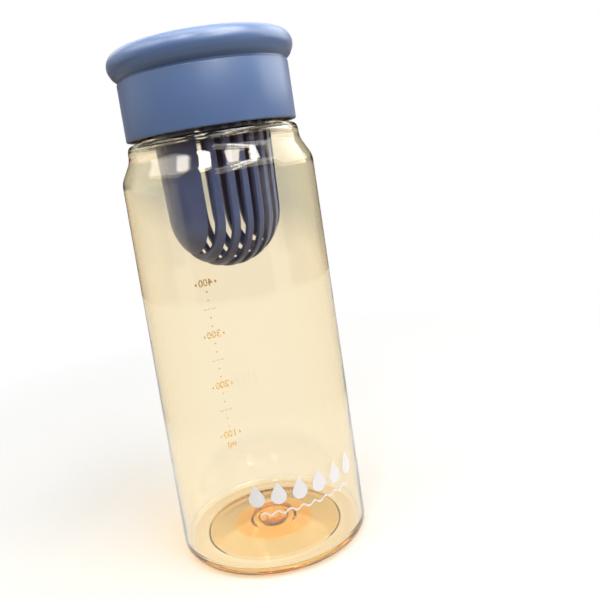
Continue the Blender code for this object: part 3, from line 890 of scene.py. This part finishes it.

# Infuser basket: one polypropylene moulding that pushes onto the lid's spigot. Below a plain band it is
# slotted right through from side to side, so that six ribs hang down and round under its bottom. It has the
# liner's darker blue, which is painted shade for the dim light inside the bottle.
BASKET_RADIUS = 23.3 * MM
BASKET_DRAFT = 1.2 * MM
BASKET_WALL = 1.8 * MM
SLOT_COUNT = 7
END_PANEL = 6.8 * MM
SLOT_HEADING = math.radians(31.5)
BASKET_BAND = 16.3 * MM
RIB_EDGE = 0.4 * MM
SLOT_COLUMNS = 4  # of faces across a slot, and as many across a rib
PANEL_COLUMNS = 12
BEND_ROWS = 26  # of faces from the straight wall down to the pole
STRAIGHT_ROWS = 12
BAND_ROWS = 4
ROUNDED_FROM = math.radians(50)  # edges sharper than this are rounded


def slotted_basket():
    """Tree that slots a flat slab, then bends it into a thimble with a round bottom.

    The slab's X counts columns across the slots and its Y counts rows along the ribs. A point's X becomes
    its distance from the basket's middle plane, and its Y how far it is down one side and up the other.
    """
    tree, size = new_tree("slotted_basket", {
        "Radius": "Float",
        "Draft": "Float",
        "Wall": "Float",
        "Field": "Float",
        "Slots": "Int",
        "Slot Columns": "Int",
        "Panel Columns": "Int",
        "Bend Rows": "Int",
        "Straight Rows": "Int",
        "Band Rows": "Int",
        "Straight Height": "Float",
        "Band Height": "Float",
        "Bend Centre": "Float",
        "Heading": "Float",
        "Plastic": "Material",
    })

    doubled = add_node(tree, "ShaderNodeMath", {0: size["Slots"], 1: 2}, operation="MULTIPLY")
    stripes = add_node(tree, "ShaderNodeMath", {0: doubled, 1: 1}, operation="SUBTRACT")
    field = add_node(tree, "ShaderNodeMath", {0: stripes, 1: size["Slot Columns"]}, operation="MULTIPLY")
    half_field = add_node(tree, "ShaderNodeMath", {0: field, 1: 2}, operation="DIVIDE")
    half_wide = add_node(tree, "ShaderNodeMath", {0: half_field, 1: size["Panel Columns"]}, operation="ADD")
    open_rows = add_node(
        tree, "ShaderNodeMath", {0: size["Bend Rows"], 1: size["Straight Rows"]}, operation="ADD"
    )
    half_long = add_node(tree, "ShaderNodeMath", {0: open_rows, 1: size["Band Rows"]}, operation="ADD")
    columns = add_node(tree, "ShaderNodeMath", {0: half_wide, 1: 2}, operation="MULTIPLY")
    rows = add_node(tree, "ShaderNodeMath", {0: half_long, 1: 2}, operation="MULTIPLY")
    column_lines = add_node(tree, "ShaderNodeMath", {0: columns, 1: 1}, operation="ADD")
    row_lines = add_node(tree, "ShaderNodeMath", {0: rows, 1: 1}, operation="ADD")
    grid = add_node(tree, "GeometryNodeMeshGrid", {
        "Size X": columns,
        "Size Y": rows,
        "Vertices X": column_lines,
        "Vertices Y": row_lines,
    })
    place = add_node(tree, "GeometryNodeInputPosition")
    x, y, z = add_node(tree, "ShaderNodeSeparateXYZ", {0: place}).outputs
    across = add_node(tree, "ShaderNodeMath", {0: x}, operation="ABSOLUTE")
    along = add_node(tree, "ShaderNodeMath", {0: y}, operation="ABSOLUTE")

    in_field = add_node(tree, "ShaderNodeMath", {0: across, 1: half_field}, operation="LESS_THAN")
    below_band = add_node(tree, "ShaderNodeMath", {0: along, 1: open_rows}, operation="LESS_THAN")
    in_window = add_node(tree, "ShaderNodeMath", {0: in_field, 1: below_band}, operation="MULTIPLY")
    pitch = add_node(tree, "ShaderNodeMath", {0: size["Slot Columns"], 1: 2}, operation="MULTIPLY")
    from_edge = add_node(tree, "ShaderNodeMath", {0: x, 1: half_field}, operation="ADD")
    offset = add_node(tree, "ShaderNodeMath", {0: from_edge, 1: pitch}, operation="FLOORED_MODULO")
    in_slot = add_node(tree, "ShaderNodeMath", {0: offset, 1: size["Slot Columns"]}, operation="LESS_THAN")
    cut = add_node(tree, "ShaderNodeMath", {0: in_window, 1: in_slot}, operation="MULTIPLY")
    slotted = add_node(
        tree, "GeometryNodeDeleteGeometry", {"Geometry": grid, "Selection": cut}, domain="FACE"
    )
    slab_top = add_node(tree, "GeometryNodeExtrudeMesh", {
        "Mesh": slotted,
        "Offset Scale": 1.0,
        "Individual": False,
    })
    slab_under = add_node(tree, "GeometryNodeFlipFaces", {0: slotted})
    slab = add_node(tree, "GeometryNodeJoinGeometry")
    for skin in (slab_top, slab_under):
        feed(tree, slab, {0: skin})

    bend = add_node(tree, "ShaderNodeMapRange", {
        "Value": along,
        "From Max": size["Bend Rows"],
        "To Max": math.pi / 2,
    })
    straight = add_node(tree, "ShaderNodeMapRange", {
        "Value": along,
        "From Min": size["Bend Rows"],
        "From Max": open_rows,
        "To Max": size["Straight Height"],
    })
    band = add_node(tree, "ShaderNodeMapRange", {
        "Value": along,
        "From Min": open_rows,
        "From Max": half_long,
        "To Max": size["Band Height"],
    })
    upper = add_node(tree, "ShaderNodeMath", {0: straight, 1: band}, operation="ADD")
    full_height = add_node(
        tree, "ShaderNodeMath", {0: size["Straight Height"], 1: size["Band Height"]}, operation="ADD"
    )
    risen = add_node(tree, "ShaderNodeMath", {0: upper, 1: full_height}, operation="DIVIDE")
    below_rim = add_node(tree, "ShaderNodeMath", {0: 1, 1: risen}, operation="SUBTRACT")
    outer = add_node(tree, "ShaderNodeMath", {0: z, 1: 0.5}, operation="GREATER_THAN")
    inner = add_node(tree, "ShaderNodeMath", {0: 1, 1: outer}, operation="SUBTRACT")
    inset = add_node(tree, "ShaderNodeMath", {0: inner, 1: size["Wall"]}, operation="MULTIPLY")
    drawn_in = add_node(tree, "ShaderNodeMath", {0: below_rim, 1: size["Draft"]}, operation="MULTIPLY")
    drafted = add_node(tree, "ShaderNodeMath", {0: size["Radius"], 1: drawn_in}, operation="SUBTRACT")
    radius = add_node(tree, "ShaderNodeMath", {0: drafted, 1: inset}, operation="SUBTRACT")

    half_width = add_node(tree, "ShaderNodeMath", {0: size["Field"], 1: 2}, operation="DIVIDE")
    field_share = add_node(tree, "ShaderNodeMath", {0: across, 1: half_field}, operation="DIVIDE")
    plane = add_node(tree, "ShaderNodeMath", {0: field_share, 1: half_width}, operation="MULTIPLY")
    edge_sine = add_node(tree, "ShaderNodeMath", {0: half_width, 1: radius}, operation="DIVIDE")
    edge_angle = add_node(tree, "ShaderNodeMath", {0: edge_sine}, operation="ARCSINE")
    panel = add_node(tree, "ShaderNodeMapRange", {
        "Value": across,
        "From Min": half_field,
        "From Max": half_wide,
        "To Min": edge_angle,
        "To Max": math.pi / 2,
    })
    panel_sine = add_node(tree, "ShaderNodeMath", {0: panel}, operation="SINE")
    panel_aside = add_node(tree, "ShaderNodeMath", {0: radius, 1: panel_sine}, operation="MULTIPLY")
    on_panel = add_node(tree, "ShaderNodeMath", {0: across, 1: half_field}, operation="GREATER_THAN")
    aside = add_node(
        tree, "GeometryNodeSwitch", {0: on_panel, 1: plane, 2: panel_aside}, input_type="FLOAT"
    )

    radius_squared = add_node(tree, "ShaderNodeMath", {0: radius, 1: 2}, operation="POWER")
    aside_squared = add_node(tree, "ShaderNodeMath", {0: aside, 1: 2}, operation="POWER")
    squared = add_node(tree, "ShaderNodeMath", {0: radius_squared, 1: aside_squared}, operation="SUBTRACT")
    not_negative = add_node(tree, "ShaderNodeMath", {0: squared, 1: 0}, operation="MAXIMUM")
    reach = add_node(tree, "ShaderNodeMath", {0: not_negative}, operation="SQRT")
    bend_sine = add_node(tree, "ShaderNodeMath", {0: bend}, operation="SINE")
    bend_cosine = add_node(tree, "ShaderNodeMath", {0: bend}, operation="COSINE")
    reach_out = add_node(tree, "ShaderNodeMath", {0: reach, 1: bend_sine}, operation="MULTIPLY")
    drop = add_node(tree, "ShaderNodeMath", {0: reach, 1: bend_cosine}, operation="MULTIPLY")
    side_x = add_node(tree, "ShaderNodeMath", {0: x}, operation="SIGN")
    side_y = add_node(tree, "ShaderNodeMath", {0: y}, operation="SIGN")
    place_x = add_node(tree, "ShaderNodeMath", {0: side_x, 1: aside}, operation="MULTIPLY")
    place_y = add_node(tree, "ShaderNodeMath", {0: side_y, 1: reach_out}, operation="MULTIPLY")
    raised = add_node(tree, "ShaderNodeMath", {0: upper, 1: size["Bend Centre"]}, operation="ADD")
    place_z = add_node(tree, "ShaderNodeMath", {0: raised, 1: drop}, operation="SUBTRACT")
    bent_place = add_node(tree, "ShaderNodeCombineXYZ", {0: place_x, 1: place_y, 2: place_z})
    headed = add_node(
        tree,
        "ShaderNodeVectorRotate",
        {"Vector": bent_place, "Angle": size["Heading"]},
        rotation_type="Z_AXIS",
    )
    bent = add_node(tree, "GeometryNodeSetPosition", {"Geometry": slab, "Position": headed})
    merged = add_node(tree, "GeometryNodeMergeByDistance", {0: bent, "Distance": MERGE_DISTANCE})
    real = add_node(tree, "GeometryNodeRealizeInstances", {0: merged})
    finished = add_node(tree, "GeometryNodeSetMaterial", {0: real, "Material": size["Plastic"]})
    add_node(tree, "NodeGroupOutput", {0: finished})
    return tree


basket_low, basket_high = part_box("infuser_basket")
bend_centre = basket_low.z + BASKET_RADIUS - BASKET_DRAFT
basket = link("slotted_infuser_basket", bpy.data.meshes.new("slotted_infuser_basket"))
use_tree(basket, slotted_basket(), {
    "Radius": BASKET_RADIUS,
    "Draft": BASKET_DRAFT,
    "Wall": BASKET_WALL,
    "Field": 2 * (BASKET_RADIUS - END_PANEL),
    "Slots": SLOT_COUNT,
    "Slot Columns": SLOT_COLUMNS,
    "Panel Columns": PANEL_COLUMNS,
    "Bend Rows": BEND_ROWS,
    "Straight Rows": STRAIGHT_ROWS,
    "Band Rows": BAND_ROWS,
    "Straight Height": basket_high.z - BASKET_BAND - bend_centre,
    "Band Height": BASKET_BAND,
    "Bend Centre": bend_centre,
    "Heading": SLOT_HEADING,
    "Plastic": shaded_inner_blue,
})
finish_mesh(basket)
rounding = basket.modifiers.new("Rounded edges", "BEVEL")
rounding.width = RIB_EDGE
rounding.segments = 3
rounding.limit_method = "ANGLE"
rounding.angle_limit = ROUNDED_FROM
finish_mesh(basket)
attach(basket, "infuser")
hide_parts("infuser_basket")

# Stage: a pale floor, a white surround that is dimmer on the camera's side, and soft lamps. The camera is
# where the photograph was taken from.
CAMERA_DISTANCE = 272.9 * MM
CAMERA_HEIGHT = 152.0 * MM
CAMERA_TILT = 0.172  # radians, as are the yaw and the roll
CAMERA_YAW = -0.028
CAMERA_ROLL = -0.155
PHOTO_WIDTH = 600
FOCAL_PIXELS = 680.7
AXIS_PIXEL = (255.8, 286.9)
WHITE = "#FFFFFF"

camera_data = bpy.data.cameras.new("photo_camera")
camera = link("photo_camera", camera_data)
camera.matrix_world = (
    Matrix.Translation((0, -CAMERA_DISTANCE, CAMERA_HEIGHT))
    @ Matrix.Rotation(math.pi / 2, 4, "X")
    @ Matrix.Rotation(CAMERA_YAW, 4, "Y")
    @ Matrix.Rotation(-CAMERA_TILT, 4, "X")
    @ Matrix.Rotation(CAMERA_ROLL, 4, "Z")
)
camera_data.lens = camera_data.sensor_width * FOCAL_PIXELS / PHOTO_WIDTH
camera_data.shift_x = 0.5 - AXIS_PIXEL[0] / PHOTO_WIDTH
camera_data.shift_y = AXIS_PIXEL[1] / PHOTO_WIDTH - 0.5
camera_data.clip_start = 1 * MM
bpy.context.scene.camera = camera


def shows_backdrop(tree):
    """Two nodes: the first is 1 for each ray that sees the backdrop, the second only if by gloss or glass.

    A ray that a matt surface has spread doesn't see it.
    """
    rays = add_node(tree, "ShaderNodeLightPath").outputs
    bounced = add_node(tree, "ShaderNodeMath", {
        0: rays["Is Glossy Ray"],
        1: rays["Is Transmission Ray"],
    }, operation="MAXIMUM")
    sharp = add_node(tree, "ShaderNodeMath", {0: rays["Diffuse Depth"], 1: 0.5}, operation="LESS_THAN")
    passed = add_node(tree, "ShaderNodeMath", {0: bounced, 1: sharp}, operation="MULTIPLY")
    shown = add_node(tree, "ShaderNodeMath", {0: rays["Is Camera Ray"], 1: passed}, operation="MAXIMUM")
    return shown, passed


FLOOR_RADIUS = 0.7
FLOOR_SIDES = 64
BOARD_TINT = "#C8C7C4"
BOARD_UNSEEN_TINT = "#575756"  # to rays that only carry light on to the bottle
FADE_START = 0.1  # distance from the bottle's foot
FADE_END = 0.4
NEAR_MIRROR = 0.12  # length of a mirrored ray, so that the foot's own reflections stay bright
FAR_MIRROR = 0.18
MIRRORED_SHARE = 0.3


def pale_floor():
    """Matt pale board that keeps the bottle's shadow and fades into the white surround further out."""
    made, tree, shader = new_material("pale_floor")
    shown, passed = shows_backdrop(tree)
    place = add_node(tree, "ShaderNodeTexCoord").outputs["Object"]
    away = add_node(tree, "ShaderNodeVectorMath", {0: place}, operation="LENGTH").outputs["Value"]
    fade = add_node(tree, "ShaderNodeMapRange", {
        "Value": away,
        "From Min": FADE_START,
        "From Max": FADE_END,
    })
    rays = add_node(tree, "ShaderNodeLightPath").outputs
    far = add_node(tree, "ShaderNodeMapRange", {
        "Value": rays["Ray Length"],
        "From Min": NEAR_MIRROR,
        "From Max": FAR_MIRROR,
    })
    mirrored = add_node(tree, "ShaderNodeMath", {0: rays["Is Reflection Ray"], 1: far}, operation="MULTIPLY")
    level = add_node(tree, "ShaderNodeMapRange", {
        "Value": mirrored,
        "To Min": 1,
        "To Max": MIRRORED_SHARE,
    })
    lit = add_node(tree, "ShaderNodeMath", {0: shown, 1: level}, operation="MULTIPLY")
    faded = add_node(tree, "ShaderNodeMath", {0: fade, 1: passed}, operation="MAXIMUM")
    white_share = add_node(tree, "ShaderNodeMath", {0: faded, 1: lit}, operation="MULTIPLY")
    board = add_node(tree, "ShaderNodeMixRGB", {0: lit, 1: srgb(BOARD_UNSEEN_TINT), 2: srgb(BOARD_TINT)})
    feed(tree, shader, {"Base Color": board, "Roughness": 0.9, "Specular IOR Level": 0})
    glow = add_node(tree, "ShaderNodeEmission", {"Color": srgb(WHITE), "Strength": 1.0})
    mix = add_node(tree, "ShaderNodeMixShader", {0: white_share, 1: shader, 2: glow})
    feed(tree, tree.nodes["Material Output"], {"Surface": mix})
    return made


floor_bm = bmesh.new()
bmesh.ops.create_circle(floor_bm, cap_ends=True, segments=FLOOR_SIDES, radius=FLOOR_RADIUS)
floor_mesh = bpy.data.meshes.new("pale_floor")
floor_bm.to_mesh(floor_mesh)
floor_bm.free()
floor = link("pale_floor", floor_mesh)
floor_mesh.materials.append(pale_floor())

LAMP_DISTANCE = 1.0


def add_softbox(name, azimuth, elevation, size, radiance, roll=0, shape="RECTANGLE"):
    """An area lamp that faces the bottle's collar, at these angles from the camera's side of it.

    The roll turns it about the line to the collar.
    """
    lamp = bpy.data.lights.new(name, "AREA")
    lamp.shape = shape
    lamp.size, lamp.size_y = size
    lamp.energy = radiance * math.pi * size[0] * size[1]
    made = link(name, lamp)
    across, up = math.radians(azimuth), math.radians(elevation)
    away = Vector((math.sin(across) * math.cos(up), -math.cos(across) * math.cos(up), math.sin(up)))
    made.location = Vector((0, 0, COLLAR_FOOT_Z)) + away * LAMP_DISTANCE
    facing = away.to_track_quat("Z", "Y") @ Quaternion((0, 0, 1), math.radians(roll))
    made.rotation_euler = facing.to_euler()
    return made


add_softbox("key_softbox", 38, 40, (0.75, 0.1), 13, roll=28)
add_softbox("near_softbox", -19, 49, (0.2, 0.4), 12, roll=-12, shape="ELLIPSE")
add_softbox("left_softbox", -53, 47, (0.22, 0.22), 4.5, roll=-30, shape="ELLIPSE")
add_softbox("far_left_softbox", -76, 44, (0.8, 0.5), 2.6)
add_softbox("edge_softbox", -98, 12, (0.9, 0.4), 0.4)
add_softbox("low_left_softbox", -60, -5, (0.4, 0.26), 0.35)
add_softbox("low_right_softbox", 56, -4, (0.4, 0.3), 0.5)
add_softbox("right_softbox", 106, 25, (1.0, 0.7), 2.3)
add_softbox("low_softbox", 36, 34, (1.4, 0.24), 3.2, roll=6)
add_softbox("high_softbox", 50, 60, (0.7, 0.3), 9)
add_softbox("top_softbox", 0, 88, (0.8, 0.6), 3.4)
add_softbox("back_softbox", 172, 42, (1.6, 0.6), 1.1)

# Surround: white to the eye. In gloss and glass it is pale grey high up, brown at eye level, and dark brown
# on the camera's side, which gives the clear wall its edges. To matt surfaces it is a soft dim light.
HIGH_TINT = "#D4DCE1"
HIGH_START, HIGH_END = 0.07, 0.13  # sines of the angle above the picture's middle
LEVEL_TINT = "#6A5448"
LEVEL_END, LEVEL_START = 0.25, 0.5  # sines of the slope up or down
DIM_TINT = "#4C2E24"
DIM_END, DIM_START = -0.1, 0.35  # cosines of the angle from straight away
SOFT_TINT = "#E6EAF0"
SOFT_STRENGTH = 0.14

world = bpy.data.worlds.new("white_surround")
bpy.context.scene.world = world
world.use_nodes = True
sky = world.node_tree
shown, passed = shows_backdrop(sky)
direction = add_node(sky, "ShaderNodeTexCoord").outputs["Generated"]
picture_up = camera.matrix_world.col[1][:3]
rising = add_node(
    sky, "ShaderNodeVectorMath", {0: direction, 1: picture_up}, operation="DOT_PRODUCT"
).outputs["Value"]
receding = add_node(
    sky, "ShaderNodeVectorMath", {0: direction, 1: (0, 1, 0)}, operation="DOT_PRODUCT"
).outputs["Value"]
high = add_node(sky, "ShaderNodeMapRange", {"Value": rising, "From Min": HIGH_START, "From Max": HIGH_END})
beyond = add_node(sky, "ShaderNodeMapRange", {"Value": receding, "From Min": DIM_END, "From Max": DIM_START})
wall = add_node(sky, "ShaderNodeMixRGB", {0: high, 1: srgb(WHITE), 2: srgb(HIGH_TINT)})
rays = add_node(sky, "ShaderNodeLightPath").outputs
slope = add_node(sky, "ShaderNodeSeparateXYZ", {0: direction}).outputs["Z"]
steep = add_node(sky, "ShaderNodeMath", {0: slope}, operation="ABSOLUTE")
level = add_node(sky, "ShaderNodeMapRange", {"Value": steep, "From Min": LEVEL_START, "From Max": LEVEL_END})
band = add_node(sky, "ShaderNodeMath", {0: rays["Is Reflection Ray"], 1: level}, operation="MULTIPLY")
banded = add_node(sky, "ShaderNodeMixRGB", {0: band, 1: wall, 2: srgb(LEVEL_TINT)})
dim = add_node(sky, "ShaderNodeMixRGB", {0: beyond, 1: srgb(DIM_TINT), 2: banded})
mirrored = add_node(sky, "ShaderNodeMath", {0: rays["Glossy Depth"], 1: 0.5}, operation="GREATER_THAN")
room = add_node(sky, "ShaderNodeMixRGB", {0: mirrored, 1: wall, 2: dim})
seen = add_node(sky, "ShaderNodeMixRGB", {0: passed, 1: srgb(WHITE), 2: room})
soft = add_node(sky, "ShaderNodeBackground", {"Color": srgb(SOFT_TINT), "Strength": SOFT_STRENGTH})
backdrop = add_node(sky, "ShaderNodeBackground", {"Color": seen, "Strength": 1.0})
choice = add_node(sky, "ShaderNodeMixShader", {0: shown, 1: soft, 2: backdrop})
feed(sky, sky.nodes["World Output"], {"Surface": choice})

bpy.context.scene.view_settings.view_transform = "Standard"
